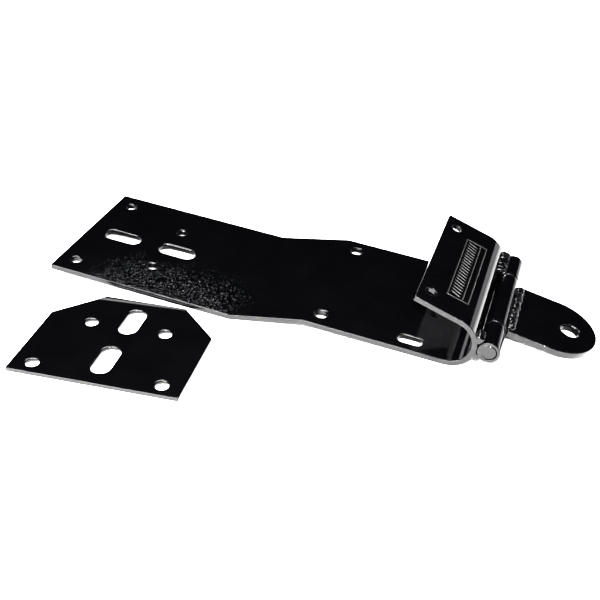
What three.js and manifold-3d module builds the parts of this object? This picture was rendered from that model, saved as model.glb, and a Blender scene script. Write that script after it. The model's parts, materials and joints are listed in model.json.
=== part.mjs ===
// Hinged hitch bracket: a bent mounting plate whose end curls over into a flange, a three-knuckle
// hinge welded to the curl, a swinging tongue with a hole for a tow pin, and a loose backing plate
// that clamps under the pad. Millimetres, +Z up, +X from the pad towards the tongue.
// The bracket lies on the ground on its first bend and its curl, with the tongue's tip resting too.
import * as THREE from "three";
import { mergeVertices } from "three/addons/utils/BufferGeometryUtils.js";
import Module from "manifold-3d";

// ---- Driving dimensions ----

const GAP = 0.3; // clearance between pieces that touch
const ARC_STEP = THREE.MathUtils.degToRad(5);
const HOLE_SEGMENTS = 14; // per half turn of a hole or a slot's end

// Mounting plate, measured along its own flat pad
const PLATE_WIDTH = 114;
const PLATE_THICKNESS = 3.8;
const BEND_RADIUS = 5; // inside radius of the two shallow bends
const RAMP_START = 135.5; // where the pad's underside would meet the ramp's
const RAMP_END = 186.5;
const SHELF_RISE = 12.6;
const CURL_START = 282;
const CURL_RADIUS = 18.6; // outside radius
const CURL_SWEEP = THREE.MathUtils.degToRad(164);
const FLANGE_LENGTH = 32.3;

// Bolt pattern shared by the pad and the backing plate: four holes and two slots in line
const OUTER_HOLE_OFFSET = 43.1; // half of the wide pair's spacing
const INNER_HOLE_OFFSET = 26; // half of the narrow pair's spacing
const HOLE_ROW_PITCH = 51.2;
const SLOT_LENGTH = 30;
const SLOT_WIDTH = 14.8;
const SLOT_PITCH = 43.8;
const SLOT_AFTER_HOLES = 14.9; // from the wide pair's row to the first slot's centre

const PAD_HOLES_FROM_END = 12.7;
const PAD_HOLE_RADIUS = 4.75;

// Shelf between the ramp and the curl
const SHELF_HOLE_X = 196;
const SHELF_HOLE_OFFSET = 44.3;
const SHELF_HOLE_RADIUS = 5.3;
const SHELF_SLOT_X = 257.5;
const SHELF_SLOT_OFFSET = 45.5;
const SHELF_SLOT_LENGTH = 18.8;
const SHELF_SLOT_WIDTH = 10.6;

// Flange over the shelf
const FLANGE_HOLE_FROM_EDGE = 8.4;
const FLANGE_HOLE_OFFSET = 44;
const FLANGE_HOLE_RADIUS = 4.8;

// Hinge
const BARREL_RADIUS = 7.2;
const BARREL_FROM = -57.4; // the near end stands a little proud of the plate's edge
const BARREL_TO = 57;
const TONGUE_KNUCKLE_FROM = -31;
const TONGUE_KNUCKLE_TO = 30;
const PIN_RADIUS = 4.9;
const KNUCKLE_WELD_RADIUS = 3.4;
const KNUCKLE_WELD_LIFT = 6.2; // from the hinge axis's level to the bead's centre
const SHORT_WELD_LENGTH = 10; // the near knuckle's upper bead, at its outer end only

// Tongue, measured from the hinge axis
const TONGUE_WIDTH = 56.5;
const TONGUE_LENGTH = 65;
const TONGUE_THICKNESS = 4.9;
const TONGUE_RISE = 0.8; // the tongue's mid-plane lies this far above the hinge axis
const TONGUE_SHIFT = -2.6; // its centre line lies this far towards the near end
const TOW_HOLE_X = 47;
const TOW_HOLE_RADIUS = 7.4;
const TONGUE_WELD_LENGTH = 52;
const TONGUE_WELD_REACH = 5; // along the tongue, over the bevel at its root
const TONGUE_WELD_HEIGHT = 2.6; // above the tongue's face
const TONGUE_BEVEL_DEPTH = 1.9; // the root edge is bevelled above and below for its welds

// Backing plate
const BACKING_DEPTH = 92.8;
const BACKING_THICKNESS = 2.8;
const BACKING_CHAMFER = 28.2;
const BACKING_HOLES_FROM_EDGE = 9.6;
const BACKING_HOLE_RADIUS = 5.25;
const BACKING_X = 83; // middle of its long edge, along the ground from the pad's free end
const BACKING_Y = -153.5;
const BACKING_TURN = 0.078; // radians

// ---- Derived dimensions ----

const rampAngle = Math.atan2(SHELF_RISE, RAMP_END - RAMP_START);
const outerBendRadius = BEND_RADIUS + PLATE_THICKNESS;
const curlCentre = { x: CURL_START, z: SHELF_RISE + CURL_RADIUS };
const bendCentre = {
  x: RAMP_START - outerBendRadius * Math.tan(rampAngle / 2),
  z: outerBendRadius,
};
const hingeX = CURL_START + CURL_RADIUS + GAP + BARREL_RADIUS;
const tongueUnderside = TONGUE_THICKNESS / 2 - TONGUE_RISE; // below the hinge axis

// The plate tips until the first bend's arc and the curl's arc both touch the ground.
const tilt = (() => {
  const dx = curlCentre.x - bendCentre.x;
  const dz = curlCentre.z - bendCentre.z;
  return Math.acos((CURL_RADIUS - outerBendRadius) / Math.hypot(dx, dz)) - Math.atan2(dx, dz);
})();
const groundLift =
  outerBendRadius - bendCentre.z * Math.cos(tilt) + bendCentre.x * Math.sin(tilt);

// The tongue swings down until the lower edge of its tip touches the ground.
const droop = (() => {
  const hingeHeight =
    curlCentre.z * Math.cos(tilt) - hingeX * Math.sin(tilt) + groundLift;
  const reach = Math.hypot(TONGUE_LENGTH, tongueUnderside);
  return Math.asin(hingeHeight / reach) - Math.atan2(tongueUnderside, TONGUE_LENGTH) - tilt;
})();

// ---- Solids ----

const wasm = await Module();
wasm.setup();

function solidOf(geometry) {
  const bare = geometry.clone();
  bare.deleteAttribute("normal");
  bare.deleteAttribute("uv");
  const merged = mergeVertices(bare, 1e-4);
  return new wasm.Manifold(
    new wasm.Mesh({
      numProp: 3,
      vertProperties: merged.attributes.position.array,
      triVerts: new Uint32Array(merged.index.array),
    }),
  );
}

function geometryOf(solid) {
  const { vertProperties, triVerts } = solid.getMesh();
  const geometry = new THREE.BufferGeometry();
  geometry.setAttribute("position", new THREE.BufferAttribute(vertProperties, 3));
  geometry.setIndex(new THREE.BufferAttribute(triVerts, 1));
  geometry.computeVertexNormals();
  return geometry;
}

const cut = (body, tools) =>
  geometryOf(tools.reduce((left, tool) => left.subtract(solidOf(tool)), solidOf(body)));

function paintedMesh(name, geometry, { color = 0x0c0c0f, roughness = 0.3 } = {}) {
  const material = new THREE.MeshStandardMaterial({ color, roughness, metalness: 0.15 });
  const mesh = new THREE.Mesh(geometry, material);
  mesh.name = name;
  return mesh;
}

// A bar along Y between two ends, with the outline given in the XZ plane.
function alongY(shape, from, to) {
  const geometry = new THREE.ExtrudeGeometry(shape, { depth: to - from, bevelEnabled: false });
  geometry.rotateX(Math.PI / 2);
  geometry.translate(0, to, 0);
  return geometry;
}

function cylinderAlongY(radius, from, to, segments = 48) {
  const geometry = new THREE.CylinderGeometry(radius, radius, to - from, segments);
  geometry.translate(0, (from + to) / 2, 0);
  return geometry;
}

// A tool for a hole or slot: an upright prism with round ends, centred on (x, y), long along X.
function slotTool(x, y, length, width, low, high) {
  const radius = width / 2;
  const straight = length / 2 - radius;
  const outline = [];
  for (const side of [1, -1]) {
    for (let i = 0; i <= HOLE_SEGMENTS; i += 1) {
      const turn = side * (-Math.PI / 2) + (side * Math.PI * i) / HOLE_SEGMENTS;
      outline.push(
        new THREE.Vector2(
          x + side * straight + side * radius * Math.cos(turn),
          y + radius * Math.sin(turn),
        ),
      );
    }
  }
  const distinct = outline.filter(
    (point, i) => point.distanceTo(outline[(i + 1) % outline.length]) > 1e-3,
  );
  const geometry = new THREE.ExtrudeGeometry(new THREE.Shape(distinct), {
    depth: high - low,
    bevelEnabled: false,
  });
  geometry.translate(0, 0, low);
  return geometry;
}

const holeTool = (x, y, radius, low, high) =>
  slotTool(x, y, 2 * radius, 2 * radius, low, high);

// Four holes and two slots, with the pattern running along +X from the wide pair's row.
function boltPattern(firstRow, holeRadius, low, high) {
  const tools = [];
  for (const side of [1, -1]) {
    tools.push(holeTool(firstRow, side * OUTER_HOLE_OFFSET, holeRadius, low, high));
    tools.push(
      holeTool(firstRow + HOLE_ROW_PITCH, side * INNER_HOLE_OFFSET, holeRadius, low, high),
    );
  }
  for (const step of [0, 1]) {
    const x = firstRow + SLOT_AFTER_HOLES + step * SLOT_PITCH;
    tools.push(slotTool(x, 0, SLOT_LENGTH, SLOT_WIDTH, low, high));
  }
  return tools;
}

// The side outline of a strip bent from flat: straight runs and arcs walked from one end, with
// the strip's thickness laid off to the left of the way it runs. A bend's radius is its inside one.
function bentStrip(steps, thickness) {
  const lower = [new THREE.Vector2(0, 0)];
  const upper = [new THREE.Vector2(0, thickness)];
  const at = new THREE.Vector2(0, 0);
  let heading = 0;
  for (const { run, turn, radius } of steps) {
    if (run) {
      at.add(new THREE.Vector2(Math.cos(heading), Math.sin(heading)).multiplyScalar(run));
    } else {
      const side = Math.sign(turn);
      const lowerRadius = side > 0 ? radius + thickness : radius;
      const upperRadius = side > 0 ? radius : radius + thickness;
      const centre = new THREE.Vector2(-Math.sin(heading), Math.cos(heading))
        .multiplyScalar(side * lowerRadius)
        .add(at);
      const count = Math.ceil(Math.abs(turn) / ARC_STEP);
      for (let i = 0; i <= count; i += 1) {
        const angle = heading + (turn * i) / count;
        const out = new THREE.Vector2(Math.sin(angle), -Math.cos(angle)).multiplyScalar(side);
        lower.push(out.clone().multiplyScalar(lowerRadius).add(centre));
        upper.push(out.clone().multiplyScalar(upperRadius).add(centre));
      }
      at.copy(lower.at(-1));
      heading += turn;
    }
  }
  const left = new THREE.Vector2(-Math.sin(heading), Math.cos(heading));
  lower.push(at);
  upper.push(left.multiplyScalar(thickness).add(at));
  return new THREE.Shape([...lower, ...upper.reverse()]);
}

// ---- Mounting plate ----

function hitchPlate() {
  const rampTangents = (outerBendRadius + BEND_RADIUS) * Math.tan(rampAngle / 2);
  const outline = bentStrip(
    [
      { run: bendCentre.x },
      { turn: rampAngle, radius: BEND_RADIUS },
      { run: Math.hypot(RAMP_END - RAMP_START, SHELF_RISE) - rampTangents },
      { turn: -rampAngle, radius: BEND_RADIUS },
      { run: CURL_START - RAMP_END - BEND_RADIUS * Math.tan(rampAngle / 2) },
      { turn: CURL_SWEEP, radius: CURL_RADIUS - PLATE_THICKNESS },
      { run: FLANGE_LENGTH },
    ],
    PLATE_THICKNESS,
  );
  const tools = boltPattern(PAD_HOLES_FROM_END, PAD_HOLE_RADIUS, -5, 10);
  const shelf = [SHELF_RISE - 5, SHELF_RISE + 10];
  for (const side of [1, -1]) {
    tools.push(holeTool(SHELF_HOLE_X, side * SHELF_HOLE_OFFSET, SHELF_HOLE_RADIUS, ...shelf));
    tools.push(
      slotTool(
        SHELF_SLOT_X,
        side * SHELF_SLOT_OFFSET,
        SHELF_SLOT_LENGTH,
        SHELF_SLOT_WIDTH,
        ...shelf,
      ),
    );
    const flangeTool = holeTool(
      FLANGE_LENGTH - FLANGE_HOLE_FROM_EDGE,
      side * FLANGE_HOLE_OFFSET,
      FLANGE_HOLE_RADIUS,
      -PLATE_THICKNESS - 5,
      PLATE_THICKNESS + 5,
    );
    flangeTool.rotateY(-CURL_SWEEP);
    flangeTool.translate(
      curlCentre.x + CURL_RADIUS * Math.sin(CURL_SWEEP),
      0,
      curlCentre.z - CURL_RADIUS * Math.cos(CURL_SWEEP),
    );
    tools.push(flangeTool);
  }
  const strip = alongY(outline, -PLATE_WIDTH / 2, PLATE_WIDTH / 2);
  return paintedMesh("hitch_plate", cut(strip, tools));
}

// ---- Hinge ----

function knuckle(name, from, to) {
  const bore = PIN_RADIUS + GAP;
  const section = [
    [bore, from],
    [BARREL_RADIUS, from],
    [BARREL_RADIUS, to],
    [bore, to],
    [bore, from],
  ].map(([radius, y]) => new THREE.Vector2(radius, y));
  return paintedMesh(name, geometryOf(solidOf(new THREE.LatheGeometry(section, 48))));
}

function hingePin() {
  return paintedMesh("hinge_pin", cylinderAlongY(PIN_RADIUS, BARREL_FROM, BARREL_TO, 40));
}

// A bead in the groove between the curl and an outer knuckle, above or below the line of contact.
// Coordinates here are from the hinge axis.
function knuckleWeld(name, side, from, to) {
  const bead = cylinderAlongY(KNUCKLE_WELD_RADIUS, from, to, 20);
  const touchX = -BARREL_RADIUS - GAP / 2;
  bead.translate(touchX, 0, side * KNUCKLE_WELD_LIFT);
  const barrel = cylinderAlongY(BARREL_RADIUS + GAP, from - 1, to + 1, 48);
  const curl = cylinderAlongY(CURL_RADIUS + GAP, from - 1, to + 1, 96);
  curl.translate(curlCentre.x - hingeX, 0, 0);
  return paintedMesh(name, cut(bead, [barrel, curl]), { roughness: 0.45 });
}

// ---- Tongue ----

const tongueRoot = BARREL_RADIUS + GAP;

// The wedge taken off the tongue's root edge on one face, with the face's height and side (+1 above).
function bevelTool(face, side) {
  const inner = face - side * TONGUE_BEVEL_DEPTH;
  const outline = new THREE.Shape([
    new THREE.Vector2(tongueRoot, inner),
    new THREE.Vector2(tongueRoot + TONGUE_WELD_REACH, face),
    new THREE.Vector2(tongueRoot + TONGUE_WELD_REACH, face + side),
    new THREE.Vector2(tongueRoot - 1, face + side),
    new THREE.Vector2(tongueRoot - 1, inner),
  ]);
  return alongY(outline, -TONGUE_WIDTH, TONGUE_WIDTH);
}

function tongue() {
  const half = TONGUE_WIDTH / 2;
  const outline = new THREE.Shape();
  outline.moveTo(tongueRoot, half);
  outline.lineTo(tongueRoot, -half);
  outline.absarc(TONGUE_LENGTH - half, 0, half, -Math.PI / 2, Math.PI / 2, false);
  outline.closePath();
  const blank = new THREE.ExtrudeGeometry(outline, {
    depth: TONGUE_THICKNESS,
    bevelEnabled: false,
    curveSegments: 36,
  });
  const tools = [
    holeTool(TOW_HOLE_X, 0, TOW_HOLE_RADIUS, -5, TONGUE_THICKNESS + 5),
    bevelTool(TONGUE_THICKNESS, 1),
    bevelTool(0, -1),
  ];
  const mesh = paintedMesh("tongue", cut(blank, tools));
  mesh.position.set(0, TONGUE_SHIFT, -tongueUnderside);
  return mesh;
}

// The bead that fills a bevel and swells above the tongue's face; side +1 is above, -1 below.
function tongueWeld(name, side) {
  const face = TONGUE_RISE + (side * TONGUE_THICKNESS) / 2;
  const across = (x, z) => new THREE.Vector2(tongueRoot + x, face + side * z);
  const outline = new THREE.Shape([
    across(-4, GAP - TONGUE_BEVEL_DEPTH),
    across(0, GAP - TONGUE_BEVEL_DEPTH),
    across(TONGUE_WELD_REACH - GAP, GAP),
    across(TONGUE_WELD_REACH * 0.8, 0.45 * TONGUE_WELD_HEIGHT),
    across(TONGUE_WELD_REACH * 0.5, 0.8 * TONGUE_WELD_HEIGHT),
    across(TONGUE_WELD_REACH * 0.16, TONGUE_WELD_HEIGHT),
    across(-4, TONGUE_WELD_HEIGHT),
  ]);
  const half = TONGUE_WELD_LENGTH / 2;
  const bead = alongY(outline, TONGUE_SHIFT - half, TONGUE_SHIFT + half);
  const barrel = cylinderAlongY(BARREL_RADIUS + GAP, -40, 40, 48);
  return paintedMesh(name, cut(bead, [barrel]), { roughness: 0.45 });
}

// ---- Backing plate ----

function backingPlate() {
  const half = PLATE_WIDTH / 2;
  const outline = new THREE.Shape([
    new THREE.Vector2(0, -half),
    new THREE.Vector2(BACKING_DEPTH - BACKING_CHAMFER, -half),
    new THREE.Vector2(BACKING_DEPTH, BACKING_CHAMFER - half),
    new THREE.Vector2(BACKING_DEPTH, half - BACKING_CHAMFER),
    new THREE.Vector2(BACKING_DEPTH - BACKING_CHAMFER, half),
    new THREE.Vector2(0, half),
  ]);
  const blank = new THREE.ExtrudeGeometry(outline, {
    depth: BACKING_THICKNESS,
    bevelEnabled: false,
  });
  const tools = boltPattern(
    BACKING_HOLES_FROM_EDGE,
    BACKING_HOLE_RADIUS,
    -5,
    BACKING_THICKNESS + 5,
  );
  const mesh = paintedMesh("backing_plate", cut(blank, tools));
  mesh.rotation.z = Math.PI / 2 + BACKING_TURN;
  mesh.position.set(BACKING_X, BACKING_Y, 0);
  return mesh;
}

// ---- Assembly ----

const nearKnuckle = [BARREL_FROM, TONGUE_KNUCKLE_FROM - GAP];
const farKnuckle = [TONGUE_KNUCKLE_TO + GAP, BARREL_TO];

const fixedLeaf = new THREE.Group();
fixedLeaf.position.set(hingeX, 0, curlCentre.z);
fixedLeaf.add(
  hingePin(),
  knuckle("near_knuckle", ...nearKnuckle),
  knuckle("far_knuckle", ...farKnuckle),
);
const beadFrom = -PLATE_WIDTH / 2;
for (const [name, side, from, to] of [
  ["near_knuckle_weld_upper", 1, beadFrom, beadFrom + SHORT_WELD_LENGTH],
  ["near_knuckle_weld_lower", -1, beadFrom, nearKnuckle[1]],
  ["far_knuckle_weld_upper", 1, ...farKnuckle],
  ["far_knuckle_weld_lower", -1, ...farKnuckle],
]) {
  fixedLeaf.add(knuckleWeld(name, side, from, to));
}

const swingingLeaf = new THREE.Group();
swingingLeaf.position.copy(fixedLeaf.position);
swingingLeaf.rotation.y = droop;
swingingLeaf.add(
  knuckle("tongue_knuckle", TONGUE_KNUCKLE_FROM, TONGUE_KNUCKLE_TO),
  tongue(),
  tongueWeld("tongue_weld_upper", 1),
  tongueWeld("tongue_weld_lower", -1),
);

const bracket = new THREE.Group();
bracket.rotation.y = tilt;
bracket.position.z = groundLift;
bracket.add(hitchPlate(), fixedLeaf, swingingLeaf);

const kit = new THREE.Group();
kit.add(bracket, backingPlate());

// The origin is on the ground, under the middle of everything.
const middle = new THREE.Box3().setFromObject(kit, true).getCenter(new THREE.Vector3());
kit.position.set(-middle.x, -middle.y, 0);

const group = new THREE.Group();
group.add(kit);

export default group;
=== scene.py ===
"""Looks of the hinged hitch bracket: bent plate, loose backing plate, hinge, tongue and weld beads.

Sizes are in millimetres, with the same driving dimensions as the CAD source, and become metres
where a mesh, a light or the camera is made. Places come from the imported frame.
"""

import json
import math
import random

import bmesh
import bpy
import numpy as np
from mathutils import Matrix, Vector, noise
from mathutils.geometry import delaunay_2d_cdt


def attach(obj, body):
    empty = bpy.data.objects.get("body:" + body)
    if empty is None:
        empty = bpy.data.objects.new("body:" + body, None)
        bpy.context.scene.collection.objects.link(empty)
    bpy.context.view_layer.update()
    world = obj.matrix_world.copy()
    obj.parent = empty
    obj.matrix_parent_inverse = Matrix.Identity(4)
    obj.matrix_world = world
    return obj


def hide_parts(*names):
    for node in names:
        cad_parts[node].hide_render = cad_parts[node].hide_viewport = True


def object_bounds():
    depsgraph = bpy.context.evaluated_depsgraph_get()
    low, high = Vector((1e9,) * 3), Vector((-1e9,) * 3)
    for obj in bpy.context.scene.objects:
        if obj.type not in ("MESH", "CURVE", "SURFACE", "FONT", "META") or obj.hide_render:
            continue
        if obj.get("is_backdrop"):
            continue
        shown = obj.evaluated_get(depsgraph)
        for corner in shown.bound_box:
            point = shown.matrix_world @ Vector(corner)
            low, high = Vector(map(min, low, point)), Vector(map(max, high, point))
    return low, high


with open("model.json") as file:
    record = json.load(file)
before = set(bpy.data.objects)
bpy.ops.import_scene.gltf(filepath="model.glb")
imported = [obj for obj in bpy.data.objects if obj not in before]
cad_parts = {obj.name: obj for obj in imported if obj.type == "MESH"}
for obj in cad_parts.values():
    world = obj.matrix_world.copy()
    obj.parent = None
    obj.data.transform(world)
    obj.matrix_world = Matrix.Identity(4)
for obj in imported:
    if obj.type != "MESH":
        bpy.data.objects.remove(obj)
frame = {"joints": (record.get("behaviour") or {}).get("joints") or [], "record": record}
cad_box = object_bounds()

MM = 0.001

# ---- Driving dimensions ----

GAP = 0.3  # clearance between pieces that touch

PLATE_WIDTH = 114
PLATE_THICKNESS = 3.8
BEND_RADIUS = 5  # inside radius of the two shallow bends
RAMP_START = 135.5
RAMP_END = 186.5
SHELF_RISE = 12.6
CURL_START = 282
CURL_RADIUS = 18.6  # outside radius
CURL_SWEEP = math.radians(164)
FLANGE_LENGTH = 32.3

OUTER_HOLE_OFFSET = 43.1
INNER_HOLE_OFFSET = 26
HOLE_ROW_PITCH = 51.2
SLOT_LENGTH = 30
SLOT_WIDTH = 14.8
SLOT_PITCH = 43.8
SLOT_AFTER_HOLES = 14.9
PAD_HOLES_FROM_END = 12.7
PAD_HOLE_RADIUS = 4.75
SHELF_HOLE_X = 196
SHELF_HOLE_OFFSET = 44.3
SHELF_HOLE_RADIUS = 5.3
SHELF_SLOT_X = 257.5
SHELF_SLOT_OFFSET = 45.5
SHELF_SLOT_LENGTH = 18.8
SHELF_SLOT_WIDTH = 10.6
FLANGE_HOLE_FROM_EDGE = 8.4
FLANGE_HOLE_OFFSET = 44
FLANGE_HOLE_RADIUS = 4.8

BARREL_RADIUS = 7.2
BARREL_FROM = -57.4
BARREL_TO = 57
TONGUE_KNUCKLE_FROM = -31
TONGUE_KNUCKLE_TO = 30
PIN_RADIUS = 4.9
KNUCKLE_WELD_RADIUS = 3.4
KNUCKLE_WELD_LIFT = 6.2
SHORT_WELD_LENGTH = 10

TONGUE_WIDTH = 56.5
TONGUE_LENGTH = 65
TONGUE_THICKNESS = 4.9
TONGUE_RISE = 0.8
TONGUE_SHIFT = -2.6
TOW_HOLE_X = 47
TOW_HOLE_RADIUS = 7.4
TONGUE_WELD_LENGTH = 52

BACKING_DEPTH = 92.8
BACKING_THICKNESS = 2.8
BACKING_CHAMFER = 28.2
BACKING_HOLES_FROM_EDGE = 9.6
BACKING_HOLE_RADIUS = 5.25
BACKING_TURN = 0.078  # radians
BACKING_MOUNT_FROM_EDGE = 86  # the record's mount on it, from the middle of its long edge

# ---- Finish of the metal ----

SHEARED_EDGE = 0.5  # rounding of an outline's edge
PUNCHED_EDGE = 1.05  # rounding that a punch leaves round a hole
SUPPORT = 0.25  # flat band inside each rounding, which keeps the flats' shading flat
CORNER = 1.1  # rounding of an outline's corners, seen from above
CORNER_STEP = math.radians(18)
LOWER_EDGE_SHARE = 0.8  # an underside's rounding, as a share of the sheared one
EDGE_STEPS = 4
HOLE_STEP = math.radians(7.5)
BEND_STEP = math.radians(4)
FLAT_STEP = 5
FLAT_MARGIN = 3  # from an outline to the first row of the grid that fills it
GRID_CLEARANCE = 1.1  # least distance from a grid point to an outline
EDGE_WAVER = 0.07  # how far a sheared edge strays from straight
EDGE_WAVES_PER_MM = 0.11
TURNED_EDGE = 0.45  # rounding at the ends of the hinge's tubes and pin

ramp_angle = math.atan2(SHELF_RISE, RAMP_END - RAMP_START)
outer_bend = BEND_RADIUS + PLATE_THICKNESS
pad_length = RAMP_START - outer_bend * math.tan(ramp_angle / 2)
hinge_x = CURL_START + CURL_RADIUS + GAP + BARREL_RADIUS
hinge_z = SHELF_RISE + CURL_RADIUS
tongue_root = BARREL_RADIUS + GAP
tongue_underside = TONGUE_THICKNESS / 2 - TONGUE_RISE


# ---- Frames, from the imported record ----


def mount(name):
    return next(m for m in frame["record"]["mounts"] if m["name"] == name)


def slope_of(mount_name):
    """The turn about +Y that tips a level face to the mount's."""
    x, _, z = mount(mount_name)["axis"]
    return math.atan2(x, z)


def tipped(slope):
    return Matrix.Rotation(slope, 4, "Y")


hinge_at = Vector(frame["joints"][0]["pos_m"]) / MM
hinge_frame = Matrix.Translation(hinge_at) @ tipped(slope_of("pad_top"))
tongue_frame = Matrix.Translation(hinge_at) @ tipped(slope_of("tongue_top"))
plate_frame = hinge_frame @ Matrix.Translation((-hinge_x, 0, -hinge_z))
backing_turn = Matrix.Rotation(math.pi / 2 + BACKING_TURN, 4, "Z")
backing_frame = (
    Matrix.Translation(Vector(mount("backing_plate_underside")["pos_m"]) / MM)
    @ backing_turn
    @ Matrix.Translation((-BACKING_MOUNT_FROM_EDGE, 0, 0))
)


# ---- Meshes ----


def mesh_piece(name, points, faces, at, material, body, replaces=(), marks=None):
    """A smooth-shaded piece from points in millimetres in the frame `at`, riding on a CAD body."""
    mesh = bpy.data.meshes.new(name)
    world = [(at @ Vector(p)) * MM for p in points]
    mesh.from_pydata(world, [], faces)
    for mark, values in (marks or {}).items():
        attribute = mesh.attributes.new(mark, "FLOAT", "POINT")
        attribute.data.foreach_set("value", values)
    tidy_normals(mesh)
    mesh.materials.append(material)
    piece = bpy.data.objects.new(name, mesh)
    bpy.context.scene.collection.objects.link(piece)
    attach(piece, body)
    if replaces:
        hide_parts(*replaces)
    return piece


def tidy_normals(mesh):
    work = bmesh.new()
    work.from_mesh(mesh)
    bmesh.ops.recalc_face_normals(work, faces=work.faces)
    for face in work.faces:
        face.smooth = True
    work.to_mesh(mesh)
    work.free()


def divided(a, b, step):
    """The points strictly between a and b, about a step apart."""
    count = max(1, round(math.dist(a, b) / step))
    return [
        (a[0] + (b[0] - a[0]) * i / count, a[1] + (b[1] - a[1]) * i / count)
        for i in range(1, count)
    ]


def arc(x, y, radius, start, end, step=HOLE_STEP):
    count = max(2, round(abs(end - start) / step))
    return [
        (x + radius * math.cos(a), y + radius * math.sin(a))
        for a in (start + (end - start) * i / count for i in range(count + 1))
    ]


def slot_loop(x, y, length, width):
    """A hole or slot's outline, long along X, counter-clockwise."""
    radius = width / 2
    straight = length / 2 - radius
    right = arc(x + straight, y, radius, -math.pi / 2, math.pi / 2)
    left = arc(x - straight, y, radius, math.pi / 2, 3 * math.pi / 2)
    if straight < 1e-6:
        return right[:-1] + left[:-1]
    return (
        right
        + divided(right[-1], left[0], 2)
        + left
        + divided(left[-1], right[0], 2)
    )


def hole_loop(x, y, radius):
    return slot_loop(x, y, 2 * radius, 2 * radius)


def rounded_outline(corners, split):
    """A counter-clockwise outline with its corners rounded, and its sides split by split(a, b)."""
    loop = []
    count = len(corners)
    arcs = []
    for i, corner in enumerate(corners):
        at = Vector(corner)
        back = (Vector(corners[i - 1]) - at).normalized()
        on = (Vector(corners[(i + 1) % count]) - at).normalized()
        half = back.angle(on) / 2
        centre = at + (back + on).normalized() * (CORNER / math.sin(half))
        reach = CORNER / math.tan(half)
        start = at + back * reach - centre
        sweep = math.pi - 2 * half
        first = math.atan2(start.y, start.x)
        arcs.append(arc(centre.x, centre.y, CORNER, first, first + sweep, CORNER_STEP))
    for i, points in enumerate(arcs):
        loop += points
        loop += split(points[-1], arcs[(i + 1) % count][0])
    return loop


def wavering(loop, amount, seed):
    """The loop with its points strayed a little, as a sheared edge does."""
    often = EDGE_WAVES_PER_MM
    return [
        (
            x + amount * noise.noise(Vector((x * often, y * often, seed))),
            y + amount * noise.noise(Vector((x * often, y * often, seed + 9))),
        )
        for x, y in loop
    ]


def inward(loop):
    """For each point of a counter-clockwise loop, the way into it, as long as the corner needs."""
    points = np.array(loop)
    ahead = np.roll(points, -1, 0) - points
    ahead /= np.linalg.norm(ahead, axis=1)[:, None]
    left = np.stack([-ahead[:, 1], ahead[:, 0]], 1)
    before = np.roll(left, 1, 0)
    return (left + before) / (1 + (left * before).sum(1))[:, None]


def shrunk(loop, way):
    """A hole's wall, which lies inside the hole's rim by the rounding that the punch leaves."""
    return [(x + dx * PUNCHED_EDGE, y + dy * PUNCHED_EDGE) for (x, y), (dx, dy) in zip(loop, way)]


def inside(points, loop):
    """Which of the points lie inside the loop."""
    a = np.array(loop)
    b = np.roll(a, -1, 0)
    x, y = points[:, 0, None], points[:, 1, None]
    spans = (a[:, 1] > y) != (b[:, 1] > y)
    rise = np.where(b[:, 1] == a[:, 1], 1, b[:, 1] - a[:, 1])
    crossing = a[:, 0] + (y - a[:, 1]) * (b[:, 0] - a[:, 0]) / rise
    return (spans & (x < crossing)).sum(1) % 2 == 1


def distance(points, loop):
    """How far each of the points is from the loop's sides."""
    a = np.array(loop)
    side = np.roll(a, -1, 0) - a
    away = points[:, None] - a
    share = np.clip((away * side).sum(2) / (side * side).sum(1), 0, 1)
    return np.linalg.norm(away - share[..., None] * side, axis=2).min(1)


def filled(loops, rows, columns):
    """Triangles between an outline and its holes, with the points of a grid inside them."""
    grid = np.array([(x, y) for x in rows for y in columns])
    keep = inside(grid, loops[0]) & (distance(grid, loops[0]) > GRID_CLEARANCE)
    for hole in loops[1:]:
        keep &= ~inside(grid, hole) & (distance(grid, hole) > GRID_CLEARANCE)
    points = [tuple(p) for loop in loops for p in loop] + [tuple(p) for p in grid[keep]]
    sides = []
    start = 0
    for loop in loops:
        count = len(loop)
        sides += [(start + i, start + (i + 1) % count) for i in range(count)]
        start += count
    made = delaunay_2d_cdt([Vector(p) for p in points], sides, [], 0, 1e-7)
    if len(made[0]) != len(points):
        raise RuntimeError("the outline crosses itself")
    order = [origins[0] for origins in made[3]]
    triangles = [tuple(order[v] for v in face) for face in made[2]]
    flat = np.array(points)
    middles = flat[np.array(triangles)].mean(1)
    wanted = inside(middles, loops[0])
    for hole in loops[1:]:
        wanted &= ~inside(middles, hole)
    return flat, [t for t, w in zip(triangles, wanted) if w]


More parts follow.
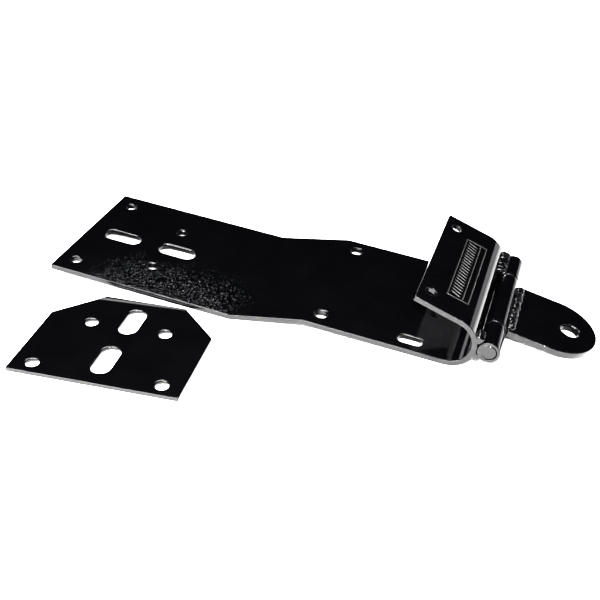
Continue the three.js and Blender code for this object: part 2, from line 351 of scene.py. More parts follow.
def blank(outline, holes, thickness, place, rows, columns, edge=None):
    """A sheet-metal blank with rounded edges: points, faces, and marks for the rounding.

    place(x, y, height) bends the blank's own coordinates. edge(x, y) is the upper rounding
    along the outline, where it isn't the usual one.
    """
    ways = [inward(outline)] + [-inward(hole) for hole in holes]
    loops = [outline, *(shrunk(hole, -way) for hole, way in zip(holes, ways[1:]))]
    roundings = [
        [edge(x, y) if edge else SHEARED_EDGE for x, y in outline],
        *[[PUNCHED_EDGE] * len(hole) for hole in holes],
    ]
    supports = [
        np.array(loop) + way * (max(radii) + SUPPORT)
        for loop, way, radii in zip(loops, ways, roundings)
    ]
    flat, triangles = filled(supports, rows, columns)
    points, faces, rim = [], [], []

    def add(x, y, height, on_rim):
        points.append(place(x, y, height))
        rim.append(on_rim)

    for height in (thickness, 0):
        for x, y in flat:
            add(x, y, height, 0)
    count = len(flat)
    faces += triangles
    faces += [tuple(v + count for v in reversed(t)) for t in triangles]
    quarter = [math.pi / 2 * i / EDGE_STEPS for i in range(EDGE_STEPS + 1)]
    start = 0
    for loop, way, radii in zip(loops, ways, roundings):
        size = len(loop)
        rings = [list(range(start, start + size))]
        profile = [(a, 1) for a in quarter] + [(a, 0) for a in reversed(quarter)]
        for turn, upper in profile:
            rings.append(list(range(len(points), len(points) + size)))
            for (x, y), (dx, dy), radius in zip(loop, way, radii):
                r = radius if upper else SHEARED_EDGE * LOWER_EDGE_SHARE
                off = r * (1 - math.sin(turn))
                drop = r * (1 - math.cos(turn))
                height = thickness - drop if upper else drop
                add(x + dx * off, y + dy * off, height, 1)
        rings.append(list(range(start + count, start + count + size)))
        for one, two in zip(rings, rings[1:]):
            for i in range(size):
                j = (i + 1) % size
                faces.append((one[j], one[i], two[i], two[j]))
        start += size
    return points, faces, {"rim": rim}


class Strip:
    """A strip bent from flat: runs and arcs walked from one end, heights laid off to the left."""

    def __init__(self, steps, thickness):
        self.parts = []
        self.rows = []
        at = Vector((0, 0))
        heading = start = 0
        for run, turn, radius in steps:
            along = Vector((math.cos(heading), math.sin(heading)))
            left = Vector((-along.y, along.x))
            side = math.copysign(1, turn)
            lower = radius + thickness if side > 0 else radius
            length = run or (radius + thickness / 2) * abs(turn)
            self.parts.append((start, length, at.copy(), heading, turn, side, lower))
            pieces = math.ceil(abs(turn) / BEND_STEP) if turn else round(length / FLAT_STEP)
            self.rows += [start + length * i / pieces for i in range(pieces)]
            if run:
                at += along * run
            else:
                centre = at + left * side * lower
                heading += turn
                at = centre + Vector((math.sin(heading), -math.cos(heading))) * side * lower
            start += length
        self.length = start
        self.rows.append(start)

    def starts(self, index):
        """How far along the flat strip a step starts."""
        return self.parts[index][0]

    def place(self, s, y, height):
        part = next((p for p in reversed(self.parts) if p[0] <= s), self.parts[0])
        start, length, at, heading, turn, side, lower = part
        along = Vector((math.cos(heading), math.sin(heading)))
        left = Vector((-along.y, along.x))
        if not turn:
            spot = at + along * (s - start) + left * height
        else:
            angle = heading + turn * (s - start) / length
            out = Vector((math.sin(angle), -math.cos(angle))) * side
            spot = at + left * side * lower + out * (lower - side * height)
        return spot.x, y, spot.y


def spread(low, high, step):
    count = round((high - low) / step)
    return [low + (high - low) * i / count for i in range(count + 1)]


def across_rows(half):
    """Rows of the grid that fills a piece, across its width."""
    return spread(-half + FLAT_MARGIN, half - FLAT_MARGIN, FLAT_STEP)


def bolt_pattern(first_row, hole_radius):
    """Loops of the four holes and two slots that the pad and the backing plate share."""
    loops = []
    for side in (1, -1):
        loops.append(hole_loop(first_row, side * OUTER_HOLE_OFFSET, hole_radius))
        loops.append(
            hole_loop(first_row + HOLE_ROW_PITCH, side * INNER_HOLE_OFFSET, hole_radius)
        )
    for step in (0, 1):
        x = first_row + SLOT_AFTER_HOLES + step * SLOT_PITCH
        loops.append(slot_loop(x, 0, SLOT_LENGTH, SLOT_WIDTH))
    return loops


def turned(profile, segments=72):
    """A closed profile of (radius, y) points turned round the Y axis."""
    points = []
    faces = []
    count = len(profile)
    for i in range(segments):
        a = 2 * math.pi * i / segments
        points += [(r * math.cos(a), y, r * math.sin(a)) for r, y in profile]
        here, there = i * count, ((i + 1) % segments) * count
        for k in range(count):
            n = (k + 1) % count
            faces.append((here + k, here + n, there + n, there + k))
    return points, faces


def swept(section, stations, closed=False):
    """A tube through stations; section(station) gives the ring of points there."""
    points = []
    faces = []
    rings = []
    for station in stations:
        ring = section(station)
        rings.append(range(len(points), len(points) + len(ring)))
        points += ring
    pairs = list(zip(rings, rings[1:]))
    if closed:
        pairs.append((rings[-1], rings[0]))
    for one, two in pairs:
        for i in range(len(one)):
            j = (i + 1) % len(one)
            faces.append((one[i], one[j], two[j], two[i]))
    if not closed:
        faces += [tuple(reversed(rings[0])), tuple(rings[-1])]
    return points, faces


# ---- Materials ----


def node(tree, kind, **settings):
    made = tree.nodes.new(kind)
    for key, value in settings.items():
        setattr(made, key, value)
    return made


def noise_layer(tree, coordinates, scale, detail):
    made = node(tree, "ShaderNodeTexNoise")
    made.inputs["Scale"].default_value = scale
    made.inputs["Detail"].default_value = detail
    tree.links.new(coordinates, made.inputs["Vector"])
    return made.outputs["Fac"]


def marked(tree, mark):
    """A value that the mesh's points carry."""
    return node(tree, "ShaderNodeAttribute", attribute_name=mark).outputs["Fac"]


def ranged(tree, value, low, high, out_low, out_high):
    made = node(tree, "ShaderNodeMapRange")
    made.inputs["From Min"].default_value = low
    made.inputs["From Max"].default_value = high
    made.inputs["To Min"].default_value = out_low
    made.inputs["To Max"].default_value = out_high
    tree.links.new(value, made.inputs["Value"])
    return made.outputs["Result"]


def maths(tree, operation, one, two):
    made = node(tree, "ShaderNodeMath", operation=operation)
    for socket, value in zip(made.inputs, (one, two)):
        if isinstance(value, (int, float)):
            socket.default_value = value
        else:
            tree.links.new(value, socket)
    return made.outputs["Value"]


MIX_FACTOR, MIX_A, MIX_B, MIX_RESULT = 0, 6, 7, 2  # a Mix node's sockets when it mixes colours


def mixed(tree, factor, one, two):
    """Colours, as three numbers or a socket, mixed by a factor."""
    made = node(tree, "ShaderNodeMix", data_type="RGBA")
    tree.links.new(factor, made.inputs[MIX_FACTOR])
    for socket, value in ((made.inputs[MIX_A], one), (made.inputs[MIX_B], two)):
        if isinstance(value, tuple):
            socket.default_value = (*value, 1)
        else:
            tree.links.new(value, socket)
    return made.outputs[MIX_RESULT]


def bumped(tree, height, distance_mm, strength, before=None):
    made = node(tree, "ShaderNodeBump")
    made.inputs["Distance"].default_value = distance_mm * MM
    made.inputs["Strength"].default_value = strength
    tree.links.new(height, made.inputs["Height"])
    if before:
        tree.links.new(before, made.inputs["Normal"])
    return made.outputs["Normal"]


PAINT_IOR = 1.44
COAT_WEIGHT = 0.2
COAT_ROUGHNESS = 0.06
COAT_IOR = 1.5
BLACK = (0.0009, 0.0009, 0.0013)
PALER_BLACK = (0.0021, 0.0021, 0.0024)
WORN_BLACK = (0.012, 0.012, 0.011)
WORN_ROUGHNESS = 0.1  # what a worn spot adds to the roughness
CLOUD_SCALE = 45  # waves per metre of the tone's slow changes
PEEL_SCALE = 420
GRIT_SCALE = 620
CLOUD_FROM_TO = (0.3, 0.7)  # the part of each noise's range that is used
CHIPS_FROM_TO = (0.62, 0.70)
CHIPS_PER_WEAR = 0.2  # how far wear lowers that part
SPECKS_FROM_TO = (0.50, 0.72)
PEEL_ON_EDGES = 0.15  # the share of the orange peel that is left on a rounded edge
STAMP_BLACK = (0.001, 0.001, 0.0013)
STAMP_CREST = (0.032, 0.032, 0.029)
STAMP_PATCH_SCALE = 160
STAMP_PATCHES_FROM_TO = (0.35, 0.6)
STAMP_LEAST_RUBBED = 0.35


def paint(name, peel, grit, rough, wear):
    """Gloss black paint over steel: orange peel, grit under the film, and worn edges.

    peel and grit are bump heights in millimetres, rough is the roughness range, and more wear
    leaves more of the rounded edges thinly covered. The grit lies where a piece is marked "grain".
    """
    material = bpy.data.materials.new(name)
    material.use_nodes = True
    tree = material.node_tree
    shader = tree.nodes["Principled BSDF"]
    shader.inputs["IOR"].default_value = PAINT_IOR
    shader.inputs["Coat Weight"].default_value = COAT_WEIGHT
    shader.inputs["Coat Roughness"].default_value = COAT_ROUGHNESS
    shader.inputs["Coat IOR"].default_value = COAT_IOR
    coordinates = node(tree, "ShaderNodeTexCoord").outputs["Object"]

    cloud = noise_layer(tree, coordinates, CLOUD_SCALE, 4)
    tone = mixed(tree, cloud, BLACK, PALER_BLACK)
    rim = marked(tree, "rim")
    chips = noise_layer(tree, coordinates, PEEL_SCALE, 5)
    chipped = [limit - wear * CHIPS_PER_WEAR for limit in CHIPS_FROM_TO]
    thin = ranged(tree, chips, *chipped, 0, 1)
    worn = maths(tree, "MULTIPLY", thin, rim)
    colour = mixed(tree, worn, tone, WORN_BLACK)
    tree.links.new(colour, shader.inputs["Base Color"])

    gloss = ranged(tree, cloud, *CLOUD_FROM_TO, *rough)
    duller = maths(tree, "MULTIPLY", worn, WORN_ROUGHNESS)
    tree.links.new(maths(tree, "ADD", gloss, duller), shader.inputs["Roughness"])

    orange = noise_layer(tree, coordinates, PEEL_SCALE, 2)
    orange = maths(tree, "MULTIPLY", orange, ranged(tree, rim, 0, 1, 1, PEEL_ON_EDGES))
    grains = noise_layer(tree, coordinates, GRIT_SCALE, 2)
    specks = ranged(tree, grains, *SPECKS_FROM_TO, 0, 1)
    specks = maths(tree, "MULTIPLY", specks, marked(tree, "grain"))
    normal = bumped(tree, orange, peel, 1)
    normal = bumped(tree, specks, grit, 1, normal)
    tree.links.new(normal, shader.inputs["Normal"])
    return material


plate_paint = paint("plate_paint", peel=0.008, grit=0.12, rough=(0.05, 0.09), wear=0.3)
smooth_paint = paint("smooth_paint", peel=0.004, grit=0, rough=(0.05, 0.08), wear=0.3)
weld_paint = paint("weld_paint", peel=0.01, grit=0, rough=(0.09, 0.15), wear=0.0)
turned_paint = paint("turned_paint", peel=0.006, grit=0, rough=(0.06, 0.10), wear=0.3)


def stamp_paint():
    """Paint rubbed thin on the crests of the stamped lines."""
    material = paint("stamp_paint", peel=0.02, grit=0, rough=(0.2, 0.3), wear=0.0)
    tree = material.node_tree
    shader = tree.nodes["Principled BSDF"]
    coordinates = node(tree, "ShaderNodeTexCoord").outputs["Object"]
    patches = noise_layer(tree, coordinates, STAMP_PATCH_SCALE, 4)
    share = ranged(tree, patches, *STAMP_PATCHES_FROM_TO, STAMP_LEAST_RUBBED, 1)
    share = maths(tree, "MULTIPLY", marked(tree, "crest"), share)
    colour = mixed(tree, share, STAMP_BLACK, STAMP_CREST)
    tree.links.new(colour, shader.inputs["Base Color"])
    return material


FLOOR_WHITE = 0.86
FLOOR_GLOW = 0.4
FLOOR_GLOW_FROM_TO = (300, 1000)  # from the middle of the floor


def pale_floor():
    """Plain white, with a glow away from the object like that of a lit table."""
    material = bpy.data.materials.new("pale_floor")
    material.use_nodes = True
    tree = material.node_tree
    shader = tree.nodes["Principled BSDF"]
    shader.inputs["Roughness"].default_value = 0.9
    shader.inputs["Base Color"].default_value = (FLOOR_WHITE, FLOOR_WHITE, FLOOR_WHITE, 1)
    shader.inputs["Emission Color"].default_value = (1, 1, 1, 1)
    place = node(tree, "ShaderNodeTexCoord").outputs["Object"]
    away = node(tree, "ShaderNodeVectorMath", operation="LENGTH")
    tree.links.new(place, away.inputs[0])
    near, far = (r * MM for r in FLOOR_GLOW_FROM_TO)
    glow = ranged(tree, away.outputs["Value"], near, far, 0.0, FLOOR_GLOW)
    tree.links.new(glow, shader.inputs["Emission Strength"])
    return material


# ---- Mounting plate ----


def plate_strip():
    tangents = (outer_bend + BEND_RADIUS) * math.tan(ramp_angle / 2)
    ramp = math.hypot(RAMP_END - RAMP_START, SHELF_RISE) - tangents
    shelf = CURL_START - RAMP_END - BEND_RADIUS * math.tan(ramp_angle / 2)
    return Strip(
        [
            (pad_length, 0, 0),
            (0, ramp_angle, BEND_RADIUS),
            (ramp, 0, 0),
            (0, -ramp_angle, BEND_RADIUS),
            (shelf, 0, 0),
            (0, CURL_SWEEP, CURL_RADIUS - PLATE_THICKNESS),
            (FLANGE_LENGTH, 0, 0),
        ],
        PLATE_THICKNESS,
    )


strip = plate_strip()
shelf_from_curl = strip.starts(5) - CURL_START  # flat length minus the place along the shelf
flange_start = strip.starts(6)

GRAIN_TO = 172  # along the plate, where the grit under the paint ends
GRAIN_FADE = 50
GRAIN_START = 15  # across the plate, where it starts to thicken towards the near edge
GRAIN_LEAST = 0.12
BEND_CLEARANCE = 0.6  # from an outline's corner to the first stop along its side


def grain(x, y):
    """How thick the grit lies under the paint: most of it along the pad's near edge."""
    along = max(0, min(1, x / GRAIN_FADE, (GRAIN_TO - x) / GRAIN_FADE))
    across = max(GRAIN_LEAST, min(1, (GRAIN_START - y) / GRAIN_FADE))
    return along * across


def hitch_plate():
    half = PLATE_WIDTH / 2
    holes = bolt_pattern(PAD_HOLES_FROM_END, PAD_HOLE_RADIUS)
    flange_row = strip.length - FLANGE_HOLE_FROM_EDGE
    for side in (1, -1):
        holes.append(
            hole_loop(
                SHELF_HOLE_X + shelf_from_curl, side * SHELF_HOLE_OFFSET, SHELF_HOLE_RADIUS
            )
        )
        holes.append(
            slot_loop(
                SHELF_SLOT_X + shelf_from_curl,
                side * SHELF_SLOT_OFFSET,
                SHELF_SLOT_LENGTH,
                SHELF_SLOT_WIDTH,
            )
        )
        holes.append(hole_loop(flange_row, side * FLANGE_HOLE_OFFSET, FLANGE_HOLE_RADIUS))

    def split(a, b):
        if abs(a[1] - b[1]) > 1:
            return divided(a, b, FLAT_STEP)
        low, high = sorted((a[0], b[0]))
        stops = [
            (s, a[1]) for s in strip.rows if low + BEND_CLEARANCE < s < high - BEND_CLEARANCE
        ]
        return stops if a[0] < b[0] else stops[::-1]

    corners = [(0, -half), (strip.length, -half), (strip.length, half), (0, half)]
    outline = wavering(rounded_outline(corners, split), EDGE_WAVER, 3)
    points, faces, marks = blank(
        outline,
        holes,
        PLATE_THICKNESS,
        strip.place,
        strip.rows,
        across_rows(half),
    )
    marks["grain"] = [
        (1 - on_rim) * grain(x, y) for (x, y, _), on_rim in zip(points, marks["rim"])
    ]
    mesh_piece(
        "bent_plate",
        points,
        faces,
        plate_frame,
        plate_paint,
        "root",
        ["hitch_plate"],
        marks,
    )


hitch_plate()


# ---- Plain stamped panel on the flange ----

STAMP_FROM = -0.6  # along the flange from where the curl ends
STAMP_TO = 14.2
STAMP_HALF_LENGTH = 37
STAMP_DIVIDE = 4.2  # from the frame's lower line to the dividing line
STAMP_MARGIN = 1.6  # from the frame to the lines in it
HATCH_AFTER_DIVIDE = 1.8
HATCH_FROM, HATCH_BEFORE = 3, 5.5  # from the frame's ends to the hatched band
HATCH_PITCH = 3.4
HATCH_SLANT = 2.6
RIB_WIDTH = 0.9
RIB_HEIGHT = 0.4
RIB_SINK = 0.1  # how deep its two feet lie under the flange's face
RIB_POINTS = 9
RIB_STEP = 1.5
CREST_POINTS = (2, 3, 4, 5, 6)  # the points across a line where the paint is rubbed


def rib(path, closed):
    """A raised half-round line on the flange's outer face, through (along, across) points."""
    count = len(path)

    def section(i):
        at = Vector(path[i])
        before = Vector(path[i - 1]) if closed or i else at
        after = Vector(path[(i + 1) % count]) if closed or i < count - 1 else at
        one = (at - before).normalized() if (at - before).length else None
        two = (after - at).normalized() if (after - at).length else None
        way = ((one or two) + (two or one)).normalized()
        side = Vector((-way.y, way.x)) / max(0.5, way.dot(two or one))
        ring = []
        for k in range(RIB_POINTS):
            turn = math.pi * k / (RIB_POINTS - 1)
            s, y = at + side * (RIB_WIDTH / 2) * math.cos(turn)
            height = -RIB_HEIGHT * math.sin(turn) + RIB_SINK
            ring.append(strip.place(flange_start + s, y, height))
        return ring

    return swept(section, range(count), closed)


def flange_stamp():
    """A rectangle with a hatched band: a generic panel, with no lettering."""
    points, faces, crests = [], [], []
    ring_crests = [float(k in CREST_POINTS) for k in range(RIB_POINTS)]

    def add(path, closed):
        new_points, new_faces = rib(path, closed)
        crests.extend(ring_crests * len(path))
        start = len(points)
        points.extend(new_points)
        faces.extend(tuple(v + start for v in f) for f in new_faces)

    def line(s_from, s_to, y_from, y_to):
        a, b = (s_from, y_from), (s_to, y_to)
        return [a, *divided(a, b, RIB_STEP)]

    low, high, half = STAMP_FROM, STAMP_TO, STAMP_HALF_LENGTH
    frame_path = (
        line(low, high, -half, -half)
        + line(high, high, -half, half)
        + line(high, low, half, half)
        + line(low, low, half, -half)
    )
    add(frame_path, True)
    divide = low + STAMP_DIVIDE
    inner = half - STAMP_MARGIN
    add(line(divide, divide, -inner, inner) + [(divide, inner)], False)
    foot, top = divide + HATCH_AFTER_DIVIDE, high - STAMP_MARGIN
    for y in spread(-half + HATCH_FROM, half - HATCH_BEFORE, HATCH_PITCH):
        add(line(foot, top, y, y + HATCH_SLANT) + [(top, y + HATCH_SLANT)], False)
    mesh_piece(
        "flange_stamp",
        points,
        faces,
        plate_frame,
        stamp_paint(),
        "root",
        marks={"crest": crests},
    )


flange_stamp()


# ---- Backing plate ----


def backing_plate():
    half = PLATE_WIDTH / 2
    depth = BACKING_DEPTH
    cut = BACKING_CHAMFER
    corners = [
        (0, -half),
        (depth - cut, -half),
        (depth, cut - half),
        (depth, half - cut),
        (depth - cut, half),
        (0, half),
    ]
    outline = rounded_outline(corners, lambda a, b: divided(a, b, FLAT_STEP))
    points, faces, marks = blank(
        wavering(outline, EDGE_WAVER, 21),
        bolt_pattern(BACKING_HOLES_FROM_EDGE, BACKING_HOLE_RADIUS),
        BACKING_THICKNESS,
        lambda x, y, height: (x, y, height),
        spread(FLAT_MARGIN, depth - FLAT_MARGIN, FLAT_STEP),
        across_rows(half),
    )
    mesh_piece(
        "loose_plate",
        points,
        faces,
        backing_frame,
        smooth_paint,
        "root",
        ["backing_plate"],
        marks,
    )


backing_plate()


# ---- Hinge ----

PIN_RECESS = 0.15  # its ends lie this far inside the knuckles'
PIN_EASE = 0.25  # rounding at its ends
PIN_PLAY = 0.2  # what the visible bar leaves of the CAD pin's radius
PIN_SEGMENTS = 60
TUBE_STEP = 3


def eased(profile, radius):
    """A closed profile with each corner rounded by a short arc."""
    out = []
    count = len(profile)
    for i, corner in enumerate(profile):
        at = Vector(corner)
        back = (Vector(profile[i - 1]) - at).normalized()
        on = (Vector(profile[(i + 1) % count]) - at).normalized()
        for share in (0, 0.25, 0.5, 0.75, 1):
            one = at + back * radius * (1 - share)
            two = at + on * radius * share
            spot = one.lerp(two, share)
            out.append((spot.x, spot.y))
    return out


def with_stops(profile, step):
    out = []
    count = len(profile)
    for i, point in enumerate(profile):
        out.append(point)
        out += divided(point, profile[(i + 1) % count], step)
    return out


def knuckle(name, body, at, start, end, replaces):
    bore = PIN_RADIUS + GAP
    section = [
        (bore, start),
        (BARREL_RADIUS, start),
        (BARREL_RADIUS, end),
        (bore, end),
    ]
    profile = with_stops(eased(section, TURNED_EDGE), TUBE_STEP)
    points, faces = turned(profile)
    edge = [float(min(y - start, end - y) < TURNED_EDGE * 1.2) for _, y, _ in points]
    mesh_piece(
        name, points, faces, at, turned_paint, body, [replaces], {"rim": edge}
    )


near_knuckle = (BARREL_FROM, TONGUE_KNUCKLE_FROM - GAP)
far_knuckle = (TONGUE_KNUCKLE_TO + GAP, BARREL_TO)
knuckle("knuckle_tube_near", "root", hinge_frame, *near_knuckle, "near_knuckle")
knuckle("knuckle_tube_far", "root", hinge_frame, *far_knuckle, "far_knuckle")
knuckle(
    "knuckle_tube_tongue",
    "tongue_leaf",
    tongue_frame,
    TONGUE_KNUCKLE_FROM,
    TONGUE_KNUCKLE_TO,
    "tongue_knuckle",
)


def hinge_pin():
    """The pin, with eased ends that lie just inside the knuckles'."""
    ease = PIN_EASE
    radius = PIN_RADIUS - PIN_PLAY
    eighth = math.pi / 8
    end = [(radius - 2 * ease, PIN_RECESS), (radius - ease, PIN_RECESS)]
    end += [
        (radius - ease * (1 - math.sin(a)), PIN_RECESS + ease * (1 - math.cos(a)))
        for a in spread(eighth, math.pi / 2, eighth)
    ]
    stations = [(r, BARREL_FROM + y) for r, y in end]
    stations += [(radius, y) for y in spread(BARREL_FROM + 2, BARREL_TO - 2, 4)]
    stations += [(r, BARREL_TO - y) for r, y in reversed(end)]

    def section(station):
        radius, y = station
        turns = [2 * math.pi * k / PIN_SEGMENTS for k in range(PIN_SEGMENTS)]
        return [(radius * math.cos(a), y, radius * math.sin(a)) for a in turns]

    points, faces = swept(section, stations)
    mesh_piece(
        "pin_bar", points, faces, hinge_frame, turned_paint, "root", ["hinge_pin"]
    )


FILLED_FROM = math.radians(95)  # round the pin's near end, where paint fills the seam
FILLED_TO = math.radians(265)
FILLED_STEP = math.radians(5)
SEAM_THIN = 0.12  # how thick the paint is at its two ends
SEAM_SWELL = 0.5  # what it gains over the first sixth from each end
SEAM_WAVER = 0.2
SEAM_INSET = 0.42  # from the knuckle's end to the paint's middle
SEAM_FLATTENING = 0.8
SEAM_POINTS = 10


def seam_paint():
    """Paint that has run into the seam round the pin's near end, over its upper left half."""
    radius = PIN_RADIUS + GAP / 4
    middle = (FILLED_FROM + FILLED_TO) / 2

    def section(turn):
        share = 1 - abs(turn - middle) / (FILLED_TO - middle)
        waver = 1 + SEAM_WAVER * noise.noise(Vector((turn * 4, 0, 7)))
        size = (SEAM_THIN + SEAM_SWELL * min(1, 3 * share)) * waver
        ring = []
        for k in range(SEAM_POINTS):
            a = 2 * math.pi * k / SEAM_POINTS
            out = radius + size * math.cos(a)
            y = BARREL_FROM + SEAM_INSET + SEAM_FLATTENING * size * math.sin(a)
            ring.append((out * math.cos(turn), y, out * math.sin(turn)))
        return ring

    points, faces = swept(section, spread(FILLED_FROM, FILLED_TO, FILLED_STEP))
    mesh_piece(
        "pin_seam_paint", points, faces, hinge_frame, turned_paint, "root"
    )


hinge_pin()
seam_paint()


# ---- Weld beads ----

BEAD_PITCH = 2.3  # from one ripple of a bead to the next
BEAD_STEP = 0.35
BEAD_POINTS = 28
ROUND_END = 0.8  # how far the rounding at a bead's ends reaches, as a share of its radius
BLUNT_END = 0.35
BEAD_SIZE = 0.93  # this and the next three are shares of the bead's radius
BEAD_RIPPLE = 0.09
BEAD_LUMPS = 0.16
BEAD_GRAINS = 0.06
LUMPS_PER_MM = 0.34
GRAINS_PER_MM = 1.3
BEAD_SINK = 0.3  # how far a tongue bead's middle lies under the tongue's face
HEAVY_WELD_RADII = (4.8, 2.8)  # of the far knuckle's upper bead, along X and Z


def bead(name, body, at, start, end, centre, radii, seed, replaces, rounding):
    """A weld bead along Y: a lumpy tube with ripples, rounded at its ends, sunk in its neighbours."""
    stations = spread(start, end, BEAD_STEP)
    cx, cz = centre
    reach = rounding * min(radii)

    def section(y):
        from_end = min(y - start, end - y)
        swell = math.sqrt(max(0.02, 1 - (1 - min(1, from_end / reach)) ** 2))
        ring = []
        for k in range(BEAD_POINTS):
            turn = 2 * math.pi * k / BEAD_POINTS
            c, s = math.cos(turn), math.sin(turn)
            spot = Vector((c * radii[0], y, s * radii[1]))
            phase = y / BEAD_PITCH + 0.35 * c + 0.8 * noise.noise(Vector((seed, y * 0.2, 0)))
            ripple = BEAD_RIPPLE * (abs(math.sin(math.pi * phase)) - 0.6)
            lumps = BEAD_LUMPS * noise.noise(spot * LUMPS_PER_MM + Vector((seed, seed, 0)))
            grains = BEAD_GRAINS * noise.noise(spot * GRAINS_PER_MM + Vector((0, seed, seed)))
            size = swell * (BEAD_SIZE + ripple + lumps + grains)
            ring.append((cx + c * radii[0] * size, y, cz + s * radii[1] * size))
        return ring

    points, faces = swept(section, stations)
    mesh_piece(name, points, faces, at, weld_paint, body, [replaces])


def knuckle_beads():
    edge = -PLATE_WIDTH / 2
    small = (KNUCKLE_WELD_RADIUS, KNUCKLE_WELD_RADIUS)
    for name, side, start, end, radii in (
        ("near_knuckle_weld_upper", 1, edge, edge + SHORT_WELD_LENGTH, small),
        ("near_knuckle_weld_lower", -1, edge, near_knuckle[1], small),
        ("far_knuckle_weld_upper", 1, *far_knuckle, HEAVY_WELD_RADII),
        ("far_knuckle_weld_lower", -1, *far_knuckle, small),
    ):
        centre = (-BARREL_RADIUS - GAP / 2, side * KNUCKLE_WELD_LIFT)
        seed = 5 + len(name) + side * 3
        piece = name + "_bead"
        bead(piece, "root", hinge_frame, start, end, centre, radii, seed, name, BLUNT_END)


TONGUE_BEAD_RADII = (3.4, 2.9)
TONGUE_BEAD_FROM_ROOT = 1.3


def tongue_beads():
    half = TONGUE_WELD_LENGTH / 2
    for name, side in (("tongue_weld_upper", 1), ("tongue_weld_lower", -1)):
        face = TONGUE_RISE + side * TONGUE_THICKNESS / 2
        centre = (tongue_root + TONGUE_BEAD_FROM_ROOT, face - side * BEAD_SINK)
        bead(
            name + "_bead",
            "tongue_leaf",
            tongue_frame,
            TONGUE_SHIFT - half,
            TONGUE_SHIFT + half,
            centre,
            TONGUE_BEAD_RADII,
            31 + side * 4,
            name,
            ROUND_END,
        )


knuckle_beads()
tongue_beads()


# ---- Tongue ----

RAGGED_FROM = tongue_root + 4
RAGGED_TO = 44
RAGGED_FADE = 12
RAGGED_BY = (-0.35, 0.55)  # what the tear adds to the rounding
RAGGED_STEP = 0.7
FAR_SIDE_STEP = 3
TIP_STEP = math.radians(3)


def tongue():
    half = TONGUE_WIDTH / 2
    tip = TONGUE_LENGTH - half
    near_side = divided((tongue_root, -half), (tip, -half), RAGGED_STEP)
    far_side = divided((tip, half), (tongue_root, half), FAR_SIDE_STEP)
    outline = (
        [(tongue_root, -half)]
        + near_side
        + arc(tip, 0, half, -math.pi / 2, math.pi / 2, TIP_STEP)
        + far_side
        + [(tongue_root, half)]
        + divided((tongue_root, half), (tongue_root, -half), FLAT_STEP)
    )
    draw = random.Random(12)

    def edge(x, y):
        """Torn by the shear along part of the near side, and even elsewhere."""
        if y > -half + 1 or not RAGGED_FROM < x < RAGGED_TO:
            return SHEARED_EDGE
        fade = min(1, (RAGGED_TO - x) / RAGGED_FADE)
        return SHEARED_EDGE + fade * draw.uniform(*RAGGED_BY)

    points, faces, marks = blank(
        outline,
        [hole_loop(TOW_HOLE_X, 0, TOW_HOLE_RADIUS)],
        TONGUE_THICKNESS,
        lambda x, y, height: (x, y + TONGUE_SHIFT, height - tongue_underside),
        spread(tongue_root + FLAT_MARGIN, TONGUE_LENGTH - FLAT_MARGIN, FLAT_STEP),
        across_rows(half),
        edge,
    )
    mesh_piece(
        "swing_tongue",
        points,
        faces,
        tongue_frame,
        plate_paint,
        "tongue_leaf",
        ["tongue"],
        marks,
    )


tongue()


# ---- Floor, light and camera ----

FLOOR_RADIUS = 2600
FLOOR_RING = 250
FLOOR_SEGMENTS = 96
WALL_HEIGHT = 430
WALL_BEND = 200
WALL_BEND_STEP = math.radians(15)


def floor():
    """A round, level, pale floor that curves up into a low wall far away."""
    points, faces = [(0, 0, 0)], []
    profile = [(r, 0) for r in spread(FLOOR_RING, FLOOR_RADIUS - WALL_BEND, FLOOR_RING)]
    profile += [
        (FLOOR_RADIUS - WALL_BEND * (1 - math.sin(a)), WALL_BEND * (1 - math.cos(a)))
        for a in spread(WALL_BEND_STEP, math.pi / 2, WALL_BEND_STEP)
    ]
    profile.append((FLOOR_RADIUS, WALL_HEIGHT))
    count = len(profile)
    for i in range(FLOOR_SEGMENTS):
        a = 2 * math.pi * i / FLOOR_SEGMENTS
        points += [(r * math.cos(a), r * math.sin(a), z) for r, z in profile]
        here = 1 + i * count
        there = 1 + ((i + 1) % FLOOR_SEGMENTS) * count
        faces.append((0, here, there))
        faces += [(here + k, here + k + 1, there + k + 1, there + k) for k in range(count - 1)]
    mesh = bpy.data.meshes.new("pale_floor")
    mesh.from_pydata([Vector(p) * MM for p in points], [], faces)
    mesh.materials.append(pale_floor())
    made = bpy.data.objects.new("pale_floor", mesh)
    bpy.context.scene.collection.objects.link(made)
    made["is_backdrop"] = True


floor()


def panel(name, at, aim, size, power):
    """A rectangular light panel of that size (width, height) in millimetres, facing a point."""
    light = bpy.data.lights.new(name, "AREA")
    light.shape = "RECTANGLE"
    light.size, light.size_y = (side * MM for side in size)
    light.energy = power
    lamp = bpy.data.objects.new(name, light)
    lamp.location = Vector(at) * MM
    lamp.rotation_mode = "QUATERNION"
    lamp.rotation_quaternion = (Vector(at) - Vector(aim)).to_track_quat("Z", "Y")
    bpy.context.scene.collection.objects.link(lamp)


def direction(azimuth, elevation):
    """The way towards a light, in degrees round from the -Y side and up from the floor."""
    a, e = math.radians(azimuth), math.radians(elevation)
    return Vector((math.sin(a) * math.cos(e), -math.cos(a) * math.cos(e), math.sin(e)))


CAMERA_AT = (152.84, -497.78, 363.72)
CAMERA_AZIMUTH = 17.424  # degrees round from the -Y side
CAMERA_ELEVATION = 33.161
CAMERA_ROLL = 1.653
CAMERA_LENS = 56.815
SENSOR_WIDTH = 36
CLIP_METRES = (0.01, 20)


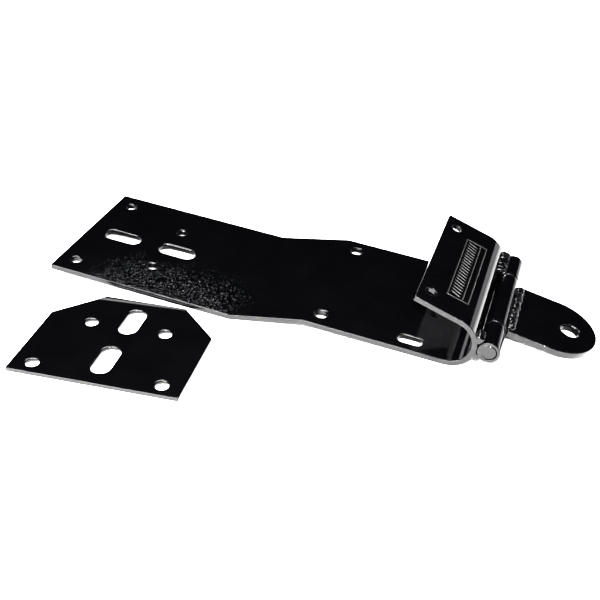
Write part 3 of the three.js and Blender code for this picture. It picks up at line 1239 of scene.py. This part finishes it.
def camera():
    back = direction(CAMERA_AZIMUTH, CAMERA_ELEVATION)
    level = back.to_track_quat("Z", "Y")
    roll = Matrix.Rotation(math.radians(CAMERA_ROLL), 3, "Z").to_quaternion()
    data = bpy.data.cameras.new("camera")
    data.lens = CAMERA_LENS
    data.sensor_width = SENSOR_WIDTH
    data.clip_start, data.clip_end = CLIP_METRES
    made = bpy.data.objects.new("camera", data)
    made.location = Vector(CAMERA_AT) * MM
    made.rotation_mode = "QUATERNION"
    made.rotation_quaternion = level @ roll
    bpy.context.scene.collection.objects.link(made)
    bpy.context.scene.camera = made


camera()

LIT_MIDDLE = (40, 0, 10)
LIT_NEAR_EDGE = (-80, -57, 10)
LIT_PAD = (-90, -10, 10)
KEY_ABOVE_CAMERA = 42
KEY_SIZE = (60, 40)
KEY_POWER = 19
OVERHEAD_AT = (60, -40, 1300)
OVERHEAD_SIZE = (1000, 1000)
OVERHEAD_POWER = 22
EDGE_AT = (-240, -560, 430)  # the front edges mirror this light into the lens as a thin line
EDGE_SIZE = (640, 150)
EDGE_POWER = 17
GRAIN_LIGHT_AT = (-310, 580, 1030)  # behind and above: the grit's slopes mirror it, not the flats
GRAIN_LIGHT_SIZE = (320, 320)
GRAIN_LIGHT_POWER = 7
ROOM_COLOUR = (0.012, 0.012, 0.014)


def lights():
    above = direction(CAMERA_AZIMUTH, CAMERA_ELEVATION + 90)
    key_at = Vector(CAMERA_AT) + above * KEY_ABOVE_CAMERA
    panel("key_light", key_at, LIT_MIDDLE, KEY_SIZE, KEY_POWER)
    panel("overhead_light", OVERHEAD_AT, LIT_MIDDLE, OVERHEAD_SIZE, OVERHEAD_POWER)
    panel("edge_light", EDGE_AT, LIT_NEAR_EDGE, EDGE_SIZE, EDGE_POWER)
    panel("grain_light", GRAIN_LIGHT_AT, LIT_PAD, GRAIN_LIGHT_SIZE, GRAIN_LIGHT_POWER)


lights()


def surroundings():
    """A nearly black room, shown with strong contrast."""
    world = bpy.data.worlds.new("dim_studio")
    world.use_nodes = True
    background = world.node_tree.nodes["Background"]
    background.inputs["Color"].default_value = (*ROOM_COLOUR, 1)
    bpy.context.scene.world = world
    bpy.context.scene.view_settings.view_transform = "Standard"
    bpy.context.scene.view_settings.look = "High Contrast"


surroundings()

boxes = {"cad": cad_box, "visual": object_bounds()}
{key: [list(c) for c in box] for key, box in boxes.items()}
